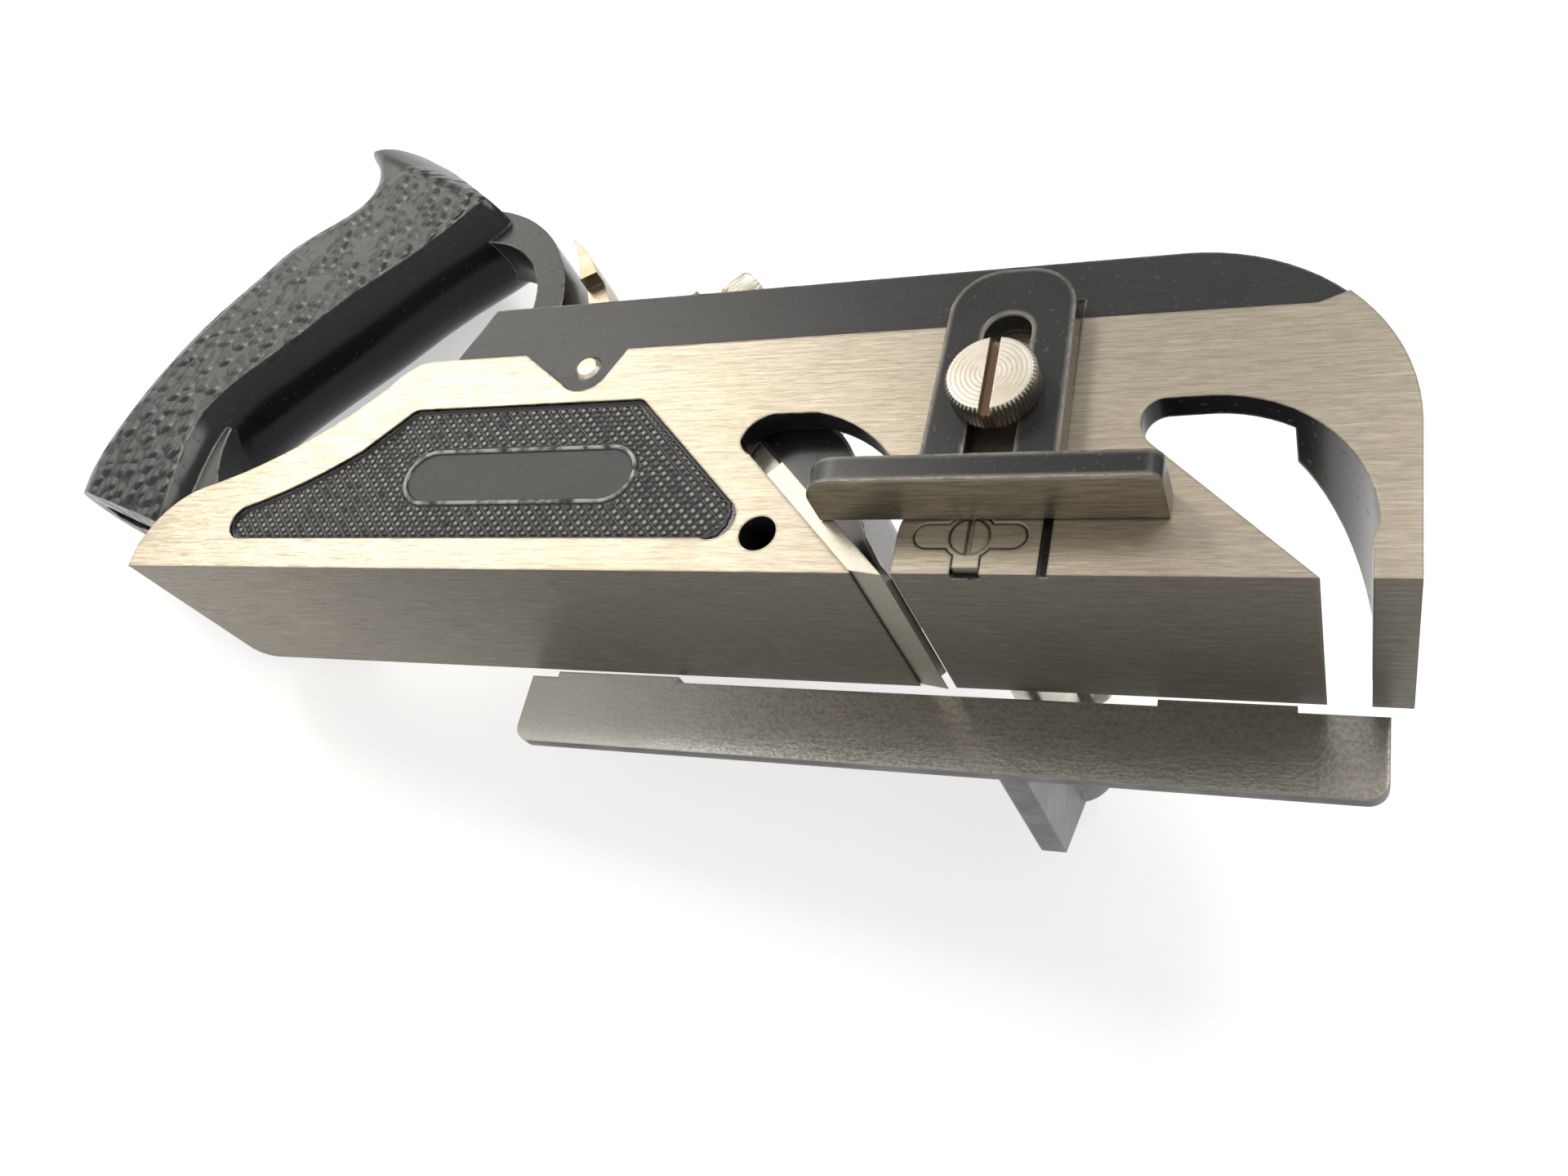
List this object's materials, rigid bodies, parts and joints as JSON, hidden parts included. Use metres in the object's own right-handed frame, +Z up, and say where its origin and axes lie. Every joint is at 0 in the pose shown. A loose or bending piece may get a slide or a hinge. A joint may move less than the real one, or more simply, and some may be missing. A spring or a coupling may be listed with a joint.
{
  "type": "rebate plane",
  "caption": "Metal rebate plane with a cast handle, a wedge-type lever cap over the cutter, a lever depth adjuster, a fence on an arm, a sliding depth stop and a spur.",
  "frame": {"origin": "middle of the sole's flat face, on its long centre line", "axes": "+X from heel to toe, +Y to the user's left towards the fence, +Z up from the sole"},
  "size_m": [0.2555, 0.1026, 0.1294],
  "materials": {
    "ground_iron": "ground bright faces, black enamel elsewhere",
    "enamelled_iron": "semi-gloss black enamel, worn at the edges",
    "cap_iron": "dark worn enamel",
    "tool_steel": "ground",
    "nickel": "satin nickel plate",
    "fence_iron": "nickel plated and ground on the face",
    "plain_steel": "turned"
  },
  "bodies": {
    "plane": {"body_casting": "ground_iron", "lever_cap_screw": "plain_steel", "adjusting_lever_pin": "plain_steel", "spur": "tool_steel", "spur_screw": "plain_steel", "fence_arm": "plain_steel"},
    "iron": {"cutter": "tool_steel"},
    "cap": {"lever_cap": "cap_iron"},
    "cap_thumbscrew": {"lever_cap_thumbscrew": "nickel"},
    "lever": {"adjusting_lever": "nickel"},
    "stop": {"depth_stop": "enamelled_iron"},
    "stop_thumbscrew": {"depth_stop_thumbscrew": "nickel"},
    "fence_unit": {"fence": "fence_iron"},
    "fence_clamp": {"fence_thumbscrew": "nickel"}
  },
  "joints": [
    {"name": "lever_turn", "type": "hinge", "parent": "plane", "child": "lever", "pos_m": [-0.0215, -0.002, 0.04], "axis": [0, 1, 0], "range_deg": [-4, 5.5]},
    {"name": "cutter_slide", "type": "slide", "parent": "plane", "child": "iron", "axis": [0.7071, 0, -0.7071], "range_m": [-0.00084, 0.00116]},
    {"name": "cap_slide", "type": "slide", "parent": "plane", "child": "cap", "axis": [-0.7071, 0, 0.7071], "range_m": [0, 0.009]},
    {"name": "cap_thumbscrew_turn", "type": "hinge", "parent": "cap", "child": "cap_thumbscrew", "pos_m": [-0.01572, -0.002, 0.05042], "axis": [0.7071, 0, 0.7071], "range_deg": [-180, 180]},
    {"name": "stop_slide", "type": "slide", "parent": "plane", "child": "stop", "axis": [0, 0, 1], "range_m": [-0.008, 0.0055]},
    {"name": "stop_thumbscrew_turn", "type": "hinge", "parent": "plane", "child": "stop_thumbscrew", "pos_m": [0.0533, -0.019, 0.027], "axis": [0, -1, 0], "range_deg": [-180, 180]},
    {"name": "fence_slide", "type": "slide", "parent": "plane", "child": "fence_unit", "axis": [0, 1, 0], "range_m": [-0.024, 0.01]},
    {"name": "fence_thumbscrew_turn", "type": "hinge", "parent": "fence_unit", "child": "fence_clamp", "pos_m": [0.0513, 0.056, 0.0066], "axis": [0, 0, 1], "range_deg": [-180, 180]}
  ],
  "couplings": [
    {"joint": "cutter_slide", "follows": "lever_turn", "m_per_rad": 0.0119}
  ]
}
